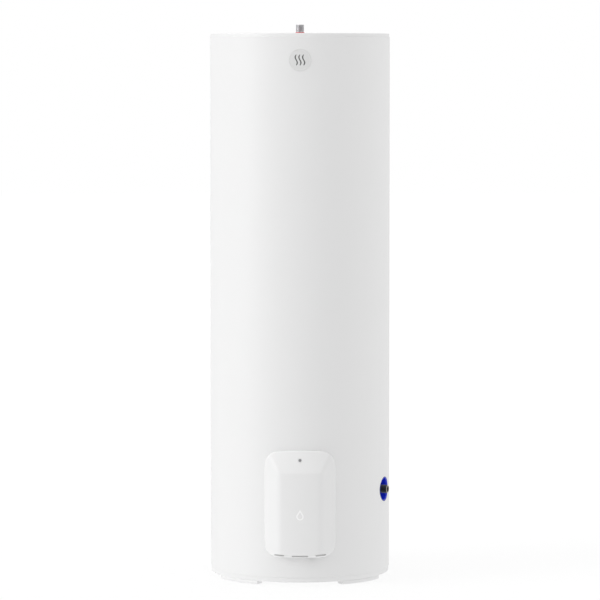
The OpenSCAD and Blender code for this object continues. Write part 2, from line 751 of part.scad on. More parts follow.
// The cover's outer form, shrunk by inset on every outer face
module cover_form(inset) {
    side = cover_w / 2;
    panel_edge = [panel_half, -sqrt(pow(panel_r, 2) - pow(panel_half, 2))];
    side_edge = [side, -sqrt(pow(R, 2) - pow(side, 2)) - cover_rim + 2];
    along = unit(side_edge - panel_edge);
    inward = [-along[1], along[0]];
    a = panel_edge + inset * inward - 60 * along;
    b = side_edge + inset * inward + 60 * along;
    lean = sqrt(1 + pow((cover_out - cover_rim) / slope_h, 2));
    difference() {
        intersection() {
            cover_prism(inset, R - 60, panel_r + 10);
            rotate_extrude() polygon([
                [0, cover_bottom - 5], [panel_r - cover_bevel - inset - 5, cover_bottom - 5],
                [panel_r - cover_bevel - inset, cover_bottom + inset * 0.4],
                [panel_r - inset, cover_bottom + cover_bevel + inset * 0.4],
                [panel_r - inset, slope_foot], [R + cover_rim - inset * lean, cover_top],
                [0, cover_top]]);
        }
        for (s = [0, 1]) mirror([s, 0, 0]) translate([0, 0, cover_bottom - 10])
            linear_extrude(cover_h + 20) polygon([a, b, [b[0], a[1] - 60]]);
    }
}

// The slots in the cover's lower edge, grown by room on every side
module each_slot(room) {
    on_front(0, cover_bottom + slot_up, 0) linear_extrude(panel_r + 5)
        square([slot_w + 2 * room, slot_h + 2 * room], center = true);
    for (s = [-1, 1]) on_front(s * side_slot_x, cover_bottom + side_slot_up, 0)
        rotate([0, 0, s * slot_tilt]) linear_extrude(panel_r + 5)
            square([side_slot_w + 2 * room, slot_h + 2 * room], center = true);
}

module cover_screw_hole() on_front(0, screw_z, 0) {
    cylinder(r = screw_r + drill, h = panel_r + 5);
    translate([0, 0, screw_seat + seat + seat_t]) cylinder(r = screw_well_r, h = 40);
}

module cover() color(white) difference() {
    union() {
        difference() {
            cover_form(0);
            cover_form(cover_t);
        }
        intersection() {
            cover_form(eps);
            on_front(0, screw_z, screw_seat + seat) cylinder(r = screw_well_r + 2, h = 60);
        }
    }
    translate([0, 0, cover_bottom - 10]) cylinder(r = R + fit, h = cover_h + 20);
    cover_screw_hole();
    difference() {
        each_slot(0);
        translate([0, 0, cover_bottom - 10]) cylinder(r = R + frame_t + 2, h = 40);
    }
    drop_ring(drop_stroke + 2 * seat, panel_r - 1, panel_r + 5);
    // open notch for the cable gland, so that the cover still pulls straight off
    translate([gland_x, -gland_depth, cover_bottom - 10]) {
        cylinder(r = gland_r + 1.5, h = 10 + cover_t + 3);
        translate([-gland_r - 1.5, 0, 0]) cube([2 * gland_r + 3, 60, 10 + cover_t + 3]);
    }
}

// A drop: a round foot with straight sides up to a point, shrunk by inset
function drop_outline(inset, steps = 36) =
    let (r = drop_h * 0.35, reach = drop_h - r, lean = asin(r / reach), foot_y = r - drop_h / 2)
    concat([for (i = [0:steps])
        let (t = 180 - lean + (180 + 2 * lean) * i / steps)
        [(r - inset) * cos(t), foot_y + (r - inset) * sin(t)]],
        [[0, foot_y + reach - inset / sin(lean)]]);
module drop_ring(stroke, r_in, r_out) {
    grow = (stroke - drop_stroke) / 2;
    intersection() {
        on_front(0, drop_z, R) linear_extrude(60) difference() {
            polygon(drop_outline(-grow));
            polygon(drop_outline(drop_stroke + grow));
        }
        translate([0, 0, drop_z - drop_h]) tube(r_out, r_in, 2 * drop_h);
    }
}
module drop_symbol() color([0.98, 0.98, 0.98])
    drop_ring(drop_stroke, panel_r - 1 + eps, panel_r + 0.4);

module cover_screw() color([0.35, 0.35, 0.37])
    on_front(0, screw_z, screw_seat + 2 * seat + seat_t) difference() {
        union() {
            cylinder(r = 4.6, h = 3);
            translate([0, 0, -seat_t - screw_bite])
                cylinder(r = screw_r, h = seat_t + screw_bite + eps);
        }
        for (a = [0, 90]) rotate([0, 0, a]) translate([-2.8, -0.6, 1.4]) cube([5.6, 1.2, 5]);
    }

module cover_frame() color([0.9, 0.9, 0.9]) {
    skin = R + seat + frame_t;
    difference() {
        union() {
            intersection() {
                cover_prism(cover_t + 0.6, R - 60, skin + 5);
                translate([0, 0, cover_bottom - 5]) tube(skin, R + seat, cover_h + 10);
            }
            intersection() {
                opening_prism(0.5, collar_in, skin + 5);
                translate([0, 0, cover_bottom - 5]) cylinder(r = skin, h = cover_h + 10);
            }
            on_front(0, screw_z, R + seat) cylinder(r = 7, h = screw_seat - R - seat);
            // tongues that reach into the cover's slots
            difference() {
                intersection() {
                    each_slot(-tongue_gap);
                    cover_form(1);
                }
                translate([0, 0, cover_bottom - 10]) cylinder(r = R + seat + 1, h = 60);
            }
            // shelf for the cable gland
            difference() {
                intersection() {
                    translate([gland_x - 10, -panel_r, shelf_z]) cube([20, panel_r, shelf_t]);
                    cover_form(cover_t + 1);
                }
                translate([0, 0, cover_bottom - 10]) cylinder(r = R + seat + 1, h = 60);
            }
        }
        opening_prism(0.5 + collar_t, collar_in - 5, R + 60);
        each_rivet() cylinder(r = 2 + seat, h = 20);
        on_front(0, screw_z, screw_seat - screw_bite) cylinder(r = screw_r + seat, h = 60);
        translate([gland_x, -gland_depth, cover_bottom]) cylinder(r = gland_r - 1 + seat, h = 40);
    }
}

module frame_rivets() color(steel) each_rivet() {
    translate([0, 0, -6]) cylinder(r = 2, h = 6 + frame_t + 0.2);
    translate([0, 0, frame_t + 0.15]) cylinder(r1 = 4, r2 = 3, h = 1.2);
}

// Strain relief: a flange under the shelf, a neck through it and a barrel above
module cable_gland() color([0.15, 0.15, 0.16])
    translate([gland_x, -gland_depth, shelf_z]) difference() {
        union() {
            translate([0, 0, -11]) cylinder(r = gland_r, h = 8);
            translate([0, 0, -3]) cylinder(r = gland_r + 1, h = 3);
            cylinder(r = gland_r - 1, h = shelf_t);
            translate([0, 0, shelf_t]) cylinder(r = gland_r + 0.5, h = 10);
        }
        translate([0, 0, -12]) cylinder(r = cable_bore / 2, h = 40);
    }

// ---- the model ----

module place() translate([0, axis_y, 0]) children();
place() tank_shell();
place() tank_top_dome();
place() tank_bottom_dome();
place() support_skirt();
place() insulation_foam();
place() jacket();
place() top_lid();
place() bottom_pan();
place() foot_front_left();
place() foot_front_right();
place() foot_rear_left();
place() foot_rear_right();
place() foot_bolts();
place() foot_nuts();
place() hot_outlet_pipe();
place() hot_outlet_ring();
place() cold_inlet_pipe();
place() cold_inlet_cup();
place() cold_inlet_diffuser();
place() flange_neck();
place() flange_studs();
place() flange_gasket();
place() heater_flange();
place() flange_nuts();
place() element_sheath();
place() ceramic_segments();
place() heating_coils();
place() element_tie_rod();
place() element_head();
place() element_terminals();
place() anode_rod();
place() anode_core();
place() anode_nut();
place() thermowell();
place() thermostat_probes();
place() thermostat_body();
place() temperature_dial();
place() reset_button();
place() terminal_block();
place() terminal_screws();
place() wire_live();
place() wire_neutral();
place() wire_element_live();
place() wire_element_neutral();
place() wire_earth();
place() earth_screw();
place() cover_frame();
place() frame_rivets();
place() cable_gland();
place() cover();
place() drop_symbol();
place() cover_screw();
place() badge();
place() rating_plate();
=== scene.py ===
"""Looks of the tank water heater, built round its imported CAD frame, in metres."""

import math

import bmesh
import bpy
from mathutils import Matrix, Vector


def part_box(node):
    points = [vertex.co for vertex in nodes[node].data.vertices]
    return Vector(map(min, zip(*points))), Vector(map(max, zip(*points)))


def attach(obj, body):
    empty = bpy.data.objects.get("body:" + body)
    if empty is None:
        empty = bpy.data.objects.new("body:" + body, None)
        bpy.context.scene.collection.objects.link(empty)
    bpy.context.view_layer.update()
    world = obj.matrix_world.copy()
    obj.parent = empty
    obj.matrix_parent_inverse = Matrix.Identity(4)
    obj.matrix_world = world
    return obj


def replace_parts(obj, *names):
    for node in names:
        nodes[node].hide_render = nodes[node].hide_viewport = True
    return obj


MM = 0.001


# ---- places and sizes, from the frame ----

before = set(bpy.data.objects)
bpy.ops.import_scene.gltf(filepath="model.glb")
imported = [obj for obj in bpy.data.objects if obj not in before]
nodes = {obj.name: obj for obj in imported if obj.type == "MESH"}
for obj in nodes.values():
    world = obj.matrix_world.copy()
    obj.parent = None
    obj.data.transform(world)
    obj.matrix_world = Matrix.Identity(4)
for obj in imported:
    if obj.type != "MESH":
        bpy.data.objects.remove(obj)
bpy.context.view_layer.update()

jacket_lo, jacket_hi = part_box("jacket")
cover_lo, cover_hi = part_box("cover")

R = (jacket_hi.x - jacket_lo.x) / 2            # outer radius of the jacket
AXIS_Y = jacket_lo.y + R                       # the tank's axis stands at (0, AXIS_Y)
UPRIGHT = Matrix.Translation((0, AXIS_Y, 0))   # the tank's own axis


def on_cylinder(x, z, depth):
    """A point whose distance from the tank's axis plane, towards the front, is depth."""
    return Vector((x, AXIS_Y - depth, z))


def facing_out(azimuth, z):
    """A place on the tank's axis whose Z points out at an angle round from the front."""
    return UPRIGHT @ Matrix.Translation((0, 0, z)) @ Matrix.Rotation(azimuth, 4, "Z") \
        @ Matrix.Rotation(math.pi / 2, 4, "X")


# ---- mesh helpers ----

def new_object(name, verts, faces):
    mesh = bpy.data.meshes.new(name)
    mesh.from_pydata([tuple(v) for v in verts], [], faces)
    thing = bpy.data.objects.new(name, mesh)
    bpy.context.scene.collection.objects.link(thing)
    return thing


def face_outwards(mesh):
    """Turns every face of a closed mesh so that its front is outside."""
    bm = bmesh.new()
    bm.from_mesh(mesh)
    bmesh.ops.recalc_face_normals(bm, faces=bm.faces)
    bm.to_mesh(mesh)
    bm.free()


def add_piece(name, verts, faces, body, material, smooth=35):
    """A new mesh piece that rides on a body, shaded smooth up to an angle in degrees."""
    piece = new_object(name, verts, faces)
    piece.data.validate()
    finish_piece(piece, body, material, smooth)
    return piece


def finish_piece(piece, body, material, smooth=35):
    """Shading, material and body of a piece whose mesh is complete."""
    face_outwards(piece.data)
    piece.data.shade_smooth()
    piece.data.set_sharp_from_angle(angle=math.radians(smooth))
    piece.data.materials.clear()
    piece.data.materials.append(material)
    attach(piece, body)


def angles(count):
    """Equal steps round a full turn."""
    return [2 * math.pi * i / count for i in range(count)]


def join_rings(rings, closed=True):
    """Vertices and faces of a skin over rings of points that all have the same count."""
    n, count = len(rings[0]), len(rings)
    verts = [p for ring in rings for p in ring]
    faces = []
    for k in range(count if closed else count - 1):
        a, b = k * n, (k + 1) % count * n
        faces += [(a + i, a + (i + 1) % n, b + (i + 1) % n, b + i) for i in range(n)]
    return verts, faces


def turn(place, r, z, segments):
    """A ring of points of one radius round the Z axis of place."""
    return [place @ Vector((r * math.cos(t), r * math.sin(t), z)) for t in angles(segments)]


def lathe(name, outline, body, material, place=UPRIGHT, segments=96, smooth=35):
    """Turns a closed outline of (radius, z) points round the Z axis of place."""
    verts, faces = join_rings([turn(place, r, z, segments) for r, z in outline])
    return add_piece(name, verts, faces, body, material, smooth)


def cut(piece, cutters):
    """Cuts mesh objects out of a piece and deletes them."""
    for c in cutters:
        mod = piece.modifiers.new("cut", "BOOLEAN")
        mod.operation = "DIFFERENCE"
        mod.solver = "EXACT"
        mod.object = c
    bpy.context.view_layer.update()
    graph = bpy.context.evaluated_depsgraph_get()
    old = piece.data
    piece.data = bpy.data.meshes.new_from_object(piece.evaluated_get(graph))
    piece.modifiers.clear()
    bpy.data.meshes.remove(old)
    for c in cutters:
        bpy.data.objects.remove(c)


def prism(outline, place, depth):
    """A cutter: an outline of (x, z) points pushed back through the front by depth."""
    n = len(outline)
    verts = [place + Vector((x, 0, z)) for x, z in outline]
    verts += [v + Vector((0, depth, 0)) for v in verts]
    faces = [tuple(range(n)), tuple(range(2 * n - 1, n - 1, -1))]
    faces += [(i, i + n, (i + 1) % n + n, (i + 1) % n) for i in range(n)]
    cutter = new_object("cutter", verts, faces)
    face_outwards(cutter.data)
    return cutter


def circle(radius, count=48):
    """A round outline of (x, z) points."""
    return [(radius * math.cos(t), radius * math.sin(t)) for t in angles(count)]


def rounded_box(width, height, radius, steps=6):
    """A rectangular outline of (x, z) points with round corners."""
    out = []
    for sx, sz, start in ((1, 1, 0), (-1, 1, 90), (-1, -1, 180), (1, -1, 270)):
        for k in range(steps + 1):
            a = math.radians(start + 90 * k / steps)
            out.append((sx * (width / 2 - radius) + radius * math.cos(a),
                        sz * (height / 2 - radius) + radius * math.sin(a)))
    return out


def slot_outline(width, height, tilt=0.0, steps=8):
    """A slot with round ends, turned by tilt degrees."""
    r = height / 2
    ends = []
    for side, start in ((1, -90), (-1, 90)):
        for k in range(steps + 1):
            a = math.radians(start + 180 * k / steps)
            ends.append((side * (width / 2 - r) + r * math.cos(a), r * math.sin(a)))
    c, s = math.cos(math.radians(tilt)), math.sin(math.radians(tilt))
    return [(x * c - z * s, x * s + z * c) for x, z in ends]


# ---- materials ----

ROUGH_SPREAD = 0.05                            # how far the roughness wanders either way


def surface(name, color, rough=0.4, metallic=0.0, grain=0.0, grain_size=1.0, mottle=0.03,
            mottle_size=120.0, specular=0.5):
    """A procedural material: broad mottling of its colour, and grain in roughness and bump.
    grain is the bump's height, and grain_size and mottle_size are pitches, in millimetres."""
    mat = bpy.data.materials.new(name)
    mat.use_nodes = True
    tree = mat.node_tree
    shader = tree.nodes["Principled BSDF"]
    shader.inputs["Metallic"].default_value = metallic
    shader.inputs["Specular IOR Level"].default_value = specular
    coords = tree.nodes.new("ShaderNodeTexCoord")
    broad = tree.nodes.new("ShaderNodeTexNoise")
    broad.inputs["Scale"].default_value = 1 / (mottle_size * MM)
    broad.inputs["Detail"].default_value = 4.0
    tree.links.new(coords.outputs["Object"], broad.inputs["Vector"])
    ramp = tree.nodes.new("ShaderNodeValToRGB")
    for stop, position, shade in zip(ramp.color_ramp.elements, (0.3, 0.7), (1 - mottle, 1 + mottle)):
        stop.position = position
        stop.color = (*[min(c * shade, 1) for c in color], 1)
    tree.links.new(broad.outputs["Fac"], ramp.inputs["Fac"])
    tree.links.new(ramp.outputs["Color"], shader.inputs["Base Color"])
    fine = tree.nodes.new("ShaderNodeTexNoise")
    fine.inputs["Scale"].default_value = 1 / (grain_size * MM)
    fine.inputs["Detail"].default_value = 2.0
    tree.links.new(coords.outputs["Object"], fine.inputs["Vector"])
    spread = tree.nodes.new("ShaderNodeMapRange")
    spread.inputs["To Min"].default_value = rough - ROUGH_SPREAD
    spread.inputs["To Max"].default_value = rough + ROUGH_SPREAD
    tree.links.new(fine.outputs["Fac"], spread.inputs["Value"])
    tree.links.new(spread.outputs["Result"], shader.inputs["Roughness"])
    if grain > 0:
        bump = tree.nodes.new("ShaderNodeBump")
        bump.inputs["Strength"].default_value = 1.0
        bump.inputs["Distance"].default_value = grain * MM
        tree.links.new(fine.outputs["Fac"], bump.inputs["Height"])
        tree.links.new(bump.outputs["Normal"], shader.inputs["Normal"])
    return mat


MATERIALS = {
    "white_paint": surface("white_paint", (0.85, 0.85, 0.85), rough=0.38, grain=0.01,
                           grain_size=2.0, mottle=0.004),
    "white_moulding": surface("white_moulding", (0.85, 0.85, 0.85), rough=0.45, grain=0.012,
                              grain_size=0.8, mottle=0.005),
    "enamel": surface("blue_black_enamel", (0.012, 0.016, 0.035), rough=0.22, grain=0.03,
                      grain_size=6, mottle=0.25, mottle_size=30),
    "steel": surface("turned_steel", (0.6, 0.6, 0.61), rough=0.3, metallic=1.0, grain=0.01,
                     grain_size=0.6, mottle=0.08, mottle_size=12),
    # painted reflection and shade: the inlet pipe's steel is made dark and bluish to stand for the blue
    # recess it reflects
    "blue_shaded_steel": surface("steel_painted_blue_reflection", (0.068, 0.076, 0.094), rough=0.42, metallic=0.9,
                          grain=0.02, grain_size=0.8, mottle=0.15, mottle_size=8),
    "face_steel": surface("cut_steel", (0.62, 0.58, 0.52), rough=0.38, metallic=0.8, grain=0.02,
                          grain_size=0.5, mottle=0.08, mottle_size=6),
    "zinc": surface("zinc_plate", (0.62, 0.62, 0.6), rough=0.35, metallic=1.0, grain=0.015,
                    grain_size=1.0, mottle=0.1, mottle_size=8),
    "brass": surface("brass", (0.72, 0.5, 0.18), rough=0.3, metallic=1.0, grain=0.01,
                     grain_size=0.8, mottle=0.1, mottle_size=6),
    "copper": surface("copper", (0.72, 0.36, 0.2), rough=0.35, metallic=1.0, mottle=0.12,
                      mottle_size=10),
    "foam": surface("cream_foam", (0.8, 0.7, 0.42), rough=0.9, grain=0.4, grain_size=1.5,
                    mottle=0.08, mottle_size=15, specular=0.2),
    "red_plastic": surface("red_plastic", (0.58, 0.003, 0.015), rough=0.35, grain=0.01,
                           grain_size=0.8, mottle=0.06, mottle_size=10),
    "blue_plastic": surface("blue_plastic", (0.009, 0.033, 0.72), rough=0.3, grain=0.01,
                            grain_size=0.8, mottle=0.05, mottle_size=20),
    "green_plastic": surface("green_plastic", (0.01, 0.16, 0.05), rough=0.35, mottle=0.06,
                             mottle_size=5),
    "pale_plastic": surface("pale_moulding", (0.62, 0.62, 0.61), rough=0.5, grain=0.03,
                            grain_size=0.8, mottle=0.04, mottle_size=25),
    "black_plastic": surface("black_plastic", (0.02, 0.02, 0.022), rough=0.45, grain=0.02,
                             grain_size=0.8, mottle=0.08, mottle_size=15),
    "ivory_plastic": surface("ivory_plastic", (0.72, 0.7, 0.62), rough=0.42, grain=0.015,
                             grain_size=0.8, mottle=0.02, mottle_size=20),
    "rubber": surface("black_rubber", (0.018, 0.018, 0.018), rough=0.7, grain=0.03,
                      grain_size=0.6, mottle=0.1, mottle_size=12, specular=0.3),
    "ceramic": surface("steatite", (0.78, 0.73, 0.62), rough=0.65, grain=0.05, grain_size=0.8,
                       mottle=0.04, mottle_size=8),
    "coil_wire": surface("oxidised_coil", (0.2, 0.17, 0.14), rough=0.55, metallic=0.6,
                         mottle=0.2, mottle_size=5),
    "magnesium": surface("cast_magnesium", (0.5, 0.5, 0.48), rough=0.55, metallic=0.9,
                         grain=0.08, grain_size=1.5, mottle=0.1, mottle_size=20),
    "foil": surface("satin_foil", (0.6, 0.6, 0.61), rough=0.42, metallic=0.9, grain=0.005,
                    grain_size=0.4, mottle=0.02, mottle_size=40),
    "symbol_white": surface("symbol_white", (1.0, 1.0, 1.0), rough=0.35, mottle=0.0),
    "badge_white": surface("badge_white", (0.77, 0.77, 0.77), rough=0.3, grain=0.006,
                           grain_size=0.8, mottle=0.01, mottle_size=10),
    "badge_grey": surface("badge_print", (0.085, 0.087, 0.087), rough=0.4, grain=0.01,
                          grain_size=0.5, mottle=0.06, mottle_size=4),
    "brown_pvc": surface("brown_sheath", (0.16, 0.06, 0.03), rough=0.4, mottle=0.05,
                         mottle_size=10),
    "blue_pvc": surface("blue_sheath", (0.02, 0.07, 0.4), rough=0.4, mottle=0.05,
                        mottle_size=10),
    "black_pvc": surface("black_sheath", (0.02, 0.02, 0.02), rough=0.4, mottle=0.08,
                         mottle_size=10),
    "green_pvc": surface("green_yellow_sheath", (0.2, 0.45, 0.03), rough=0.4, mottle=0.2,
                         mottle_size=6),
    "screw_steel": surface("dull_screw", (0.42, 0.42, 0.43), rough=0.4, metallic=0.8,
                           mottle=0.1, mottle_size=4),
}

NODE_LOOKS = {
    "enamel": ["tank_shell", "tank_top_dome", "tank_bottom_dome", "flange_neck",
               "heater_flange", "element_sheath"],
    "zinc": ["support_skirt", "foot_bolts", "foot_nuts", "flange_studs", "flange_nuts",
             "anode_core", "anode_nut", "thermowell", "element_tie_rod", "frame_rivets"],
    "foam": ["insulation_foam"],
    "white_paint": ["jacket"],
    "white_moulding": ["top_lid", "bottom_pan", "foot_front_left", "foot_front_right",
                       "foot_rear_left", "foot_rear_right", "cover"],
    "steel": ["hot_outlet_pipe", "cold_inlet_pipe"],
    "red_plastic": ["hot_outlet_ring", "temperature_dial"],
    "blue_plastic": ["cold_inlet_cup"],
    "ivory_plastic": ["cold_inlet_diffuser", "terminal_block", "thermostat_body"],
    "rubber": ["flange_gasket"],
    "ceramic": ["ceramic_segments"],
    "coil_wire": ["heating_coils"],
    "black_plastic": ["element_head"],
    "pale_plastic": ["cover_frame", "cable_gland"],
    "brass": ["element_terminals", "terminal_screws", "earth_screw"],
    "magnesium": ["anode_rod"],
    "copper": ["thermostat_probes"],
    "green_plastic": ["reset_button"],
    "brown_pvc": ["wire_live"],
    "blue_pvc": ["wire_neutral", "wire_element_neutral"],
    "black_pvc": ["wire_element_live"],
    "green_pvc": ["wire_earth"],
    "symbol_white": ["drop_symbol"],
    "screw_steel": ["cover_screw"],
    "foil": ["rating_plate"],
    "badge_white": ["badge"],
}
for look, names in NODE_LOOKS.items():
    for node_name in names:
        nodes[node_name].data.materials.clear()
        nodes[node_name].data.materials.append(MATERIALS[look])


# ---- front cover ----

COVER_W = (cover_hi.x - cover_lo.x) / 2
COVER_H = (cover_hi.z - cover_lo.z) / 2
COVER_Z = (cover_hi.z + cover_lo.z) / 2
PANEL_R = AXIS_Y - cover_lo.y                  # radius of the cover's middle panel
RIM_R = R + 8 * MM                             # radius at the cover's upper edge
FLANK_OUT = 6 * MM                             # height of the side edges off the jacket
FOOT_GAP = 0.6 * MM                            # between the cover's edge and the jacket
WALL = 2.5 * MM
SLOPE_FOOT = cover_hi.z - 69 * MM
PANEL_HALF = 68 * MM
EDGE_ROUND = 5 * MM
TOP_BOW = 1300 * MM                            # radius of the upper edge, seen from the front
TOP_POWER, LOW_POWER, SIDE_POWER = 8, 10, 6    # how square the cover's corners are
BEVEL = 7 * MM                                 # of the panel's lower edge
CUT_START = PANEL_R + 10 * MM                  # a depth in front of the whole cover
SLOT_Z = cover_lo.z + 5 * MM
SLOT_W = 52 * MM
SLOT_H = 4 * MM
SIDE_SLOT_W = 32 * MM
SIDE_SLOT_X = 65 * MM
SIDE_SLOT_RISE = 2.6 * MM
SIDE_SLOT_TILT = 2.5                           # degrees
SLOT_CUT = 45 * MM                             # how far back the slots are cut
SCREW_Z = cover_hi.z - 29 * MM
SCREW_HOLE_R = 6 * MM
SCREW_SEAT = 299.2 * MM                        # from the axis to the screw's seat
GLAND_X = 37.5 * MM
GLAND_DEPTH = 297.5 * MM
GLAND_NOTCH = (19 * MM, 15.5 * MM)
HOLE_CUT = 60 * MM                             # how far back the other holes are cut


def soft_min(a, b, width):
    """The smaller of two heights, blended over width."""
    h = min(max(0.5 + 0.5 * (b - a) / width, 0.0), 1.0)
    return b + (a - b) * h - width * h * (1 - h)


def cover_depth(x, z, inset):
    """Depth of the cover's face from the axis plane, inset below its outer face."""
    ax = abs(x)
    up = max((z - SLOPE_FOOT) / (cover_hi.z - SLOPE_FOOT), -0.2)
    panel = math.sqrt((PANEL_R - inset) ** 2 - ax ** 2)
    rim = math.sqrt((RIM_R - inset) ** 2 - ax ** 2)
    slope = panel + up * (rim - panel)
    bevel = panel - BEVEL + (z - cover_lo.z)
    face = soft_min(soft_min(panel, slope, 1.2 * MM), bevel, 3 * MM)
    edge = math.sqrt(PANEL_R ** 2 - PANEL_HALF ** 2)
    side = math.sqrt(R ** 2 - COVER_W ** 2) + FLANK_OUT
    lean = (edge - side) / (COVER_W - PANEL_HALF)
    flank = edge - (ax - PANEL_HALF) * lean - inset * math.sqrt(1 + lean ** 2)
    blend = 6 * MM + 2.5 * MM * min(max((SLOPE_FOOT - z) / (60 * MM), 0), 1)
    return soft_min(face, flank, blend)


def spaced(low, high, step, tight):
    """Values from low to high, step apart, and closer together round the tight places."""
    out, x = [low], low
    while x < high - 1e-9:
        near = min(abs(x - t) for t in tight)
        x = min(x + min(step, max(0.25 * MM, 0.25 * near + 0.35 * MM)), high)
        out.append(x)
    if len(out) > 2 and out[-1] - out[-2] < 0.1 * MM:
        out.pop(-2)
    return out


def cover_skin(inset, edge_round):
    """Rows of points over the cover's face, then its side walls down to the jacket."""
    w, h = COVER_W - inset, COVER_H - inset
    us = spaced(-w, w, 3 * MM, [-w, w, -PANEL_HALF, PANEL_HALF])
    vs = spaced(-h, h, 3.5 * MM, [-h, h, SLOPE_FOOT - COVER_Z, -h + BEVEL])
    rows = []
    for v in (q / h for q in vs):
        px, pz = SIDE_POWER, LOW_POWER if v < 0 else TOP_POWER
        row = []
        for u in (q / w for q in us):
            x = w * u * (1 - abs(v) ** pz / 2) ** (1 / px)
            z = h * v * (1 - abs(u) ** px / 2) ** (1 / pz)
            fill = abs(x / w) ** px + abs(z / h) ** pz
            slope = math.hypot(px * abs(x / w) ** (px - 1) / w, pz * abs(z / h) ** (pz - 1) / h)
            gap = (1 - fill) / max(slope, 1e-6)
            # the rounding is tighter in the middle of the lower edge, by the slots
            low = min(max(-z / h * 3 - 2, 0), 1) * (1 - min(abs(x / w) * 1.4, 1) ** 4)
            reach = edge_round * (1 - 0.7 * low)
            drop = 0.0
            if gap < reach:
                drop = reach - math.sqrt(max(reach ** 2 - (reach - gap) ** 2, 0))
            bow = x ** 2 / (2 * TOP_BOW) * max(v, 0) ** 4
            z += COVER_Z - bow
            row.append((x, z, cover_depth(x, z + bow, inset) - drop))
        rows.append(row)
    return rows


def cover_shell():
    """The outer and the inner skin of the hollow cover, and the edge of each by the jacket."""
    verts, faces, rims = [], [], []
    for inset, edge_round, flip in ((0, EDGE_ROUND, False), (WALL, EDGE_ROUND / 2, True)):
        rows = cover_skin(inset, edge_round)
        ny, nx = len(rows), len(rows[0])
        base = len(verts)
        for row in rows:
            verts += [on_cylinder(x, z, d) for x, z, d in row]
        for j in range(ny - 1):
            for i in range(nx - 1):
                a = base + j * nx + i
                quad = (a, a + 1, a + nx + 1, a + nx)
                faces.append(quad[::-1] if flip else quad)
        loop = [base + i for i in range(nx)]
        loop += [base + j * nx + nx - 1 for j in range(1, ny)]
        loop += [base + (ny - 1) * nx + i for i in range(nx - 2, -1, -1)]
        loop += [base + j * nx for j in range(ny - 2, 0, -1)]
        top = loop
        for part in (0.5, 1.0):
            ring = []
            for k, index in enumerate(loop):
                p = verts[index]
                foot = AXIS_Y - math.sqrt((R + FOOT_GAP) ** 2 - p.x ** 2)
                ring.append(len(verts))
                verts.append(Vector((p.x, p.y + (foot - p.y) * part, p.z)))
            for k in range(len(loop)):
                m = (k + 1) % len(loop)
                quad = (top[k], ring[k], ring[m], top[m])
                faces.append(quad[::-1] if flip else quad)
            top = ring
        rims.append(top)
    return verts, faces, rims


def bridge(verts, faces, a, b):
    """Joins two closed loops of points that run the same way round."""
    first = min(range(len(b)), key=lambda k: (verts[b[k]] - verts[a[0]]).length)
    steps_a, steps_b = 0, 0
    while steps_a < len(a) or steps_b < len(b):
        pa, pb = a[steps_a % len(a)], b[(first + steps_b) % len(b)]
        na, nb = a[(steps_a + 1) % len(a)], b[(first + steps_b + 1) % len(b)]
        reach_a = (verts[na] - verts[pb]).length if steps_a < len(a) else math.inf
        reach_b = (verts[nb] - verts[pa]).length if steps_b < len(b) else math.inf
        if reach_a < reach_b:
            faces.append((pa, na, pb))
            steps_a += 1
        else:
            faces.append((pa, nb, pb))
            steps_b += 1


def make_cover():
    """The cover's shell with its three slots, the screw's hole and the notch for the gland."""
    verts, faces, rims = cover_shell()
    bridge(verts, faces, *rims)
    piece = add_piece("front_cover", verts, faces, "cover", MATERIALS["white_moulding"])
    cutters = [prism(slot_outline(SLOT_W, SLOT_H), on_cylinder(0, SLOT_Z, CUT_START), SLOT_CUT)]
    for side in (-1, 1):
        outline = slot_outline(SIDE_SLOT_W, SLOT_H, side * SIDE_SLOT_TILT)
        place = on_cylinder(side * SIDE_SLOT_X, SLOT_Z + SIDE_SLOT_RISE, CUT_START)
        cutters.append(prism(outline, place, SLOT_CUT))
    cutters.append(prism(circle(SCREW_HOLE_R), on_cylinder(0, SCREW_Z, CUT_START), HOLE_CUT))
    notch = on_cylinder(GLAND_X, cover_lo.z - 2 * MM, GLAND_DEPTH + 9 * MM)
    cutters.append(prism(rounded_box(*GLAND_NOTCH, 2 * MM), notch, HOLE_CUT))
    cut(piece, cutters)
    finish_piece(piece, "cover", MATERIALS["white_moulding"])
    return piece


def make_screw_well(count=48):
    """The moulded cup round the screw, from the cover's slope back to its seat."""
    floor = SCREW_SEAT + 3 * MM
    outline = ((2.3, SCREW_SEAT), (8, SCREW_SEAT), (8, None), (6, None), (6, floor), (2.3, floor))
    rings = []
    for t in angles(count):
        ring = []
        for r, depth in outline:
            x, z = r * MM * math.cos(t), SCREW_Z + r * MM * math.sin(t)
            if depth is None:                  # these two follow the cover's face
                depth = cover_depth(x, z, 0.3 * MM)
            ring.append(on_cylinder(x, z, depth))
        rings.append(ring)
    verts, faces = join_rings(rings)
    return add_piece("cover_screw_well", verts, faces, "cover", MATERIALS["white_moulding"])


front_cover = make_cover()
make_screw_well()
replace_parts(front_cover, "cover")


# ---- pipes ----

PITCH = 1.814 * MM                             # of a 3/4 inch pipe thread
THREAD_DEPTH = 1.16 * MM
THREAD_LEN = 22 * MM
THREAD_R = 13.22 * MM                          # over the crests
PIPE_R = THREAD_R - 0.25 * MM
BORE_R = 10 * MM
THREAD_PROFILE = (0, 0.3, 0.75, 1, 0.75, 0.3)  # one pitch, root to crest to root
THREAD_FADE = 1.2                              # how fast the crests rise from both ends
INLET_AZIMUTH = math.radians(70)
inlet_z = sum(c.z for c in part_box("cold_inlet_cup")) / 2


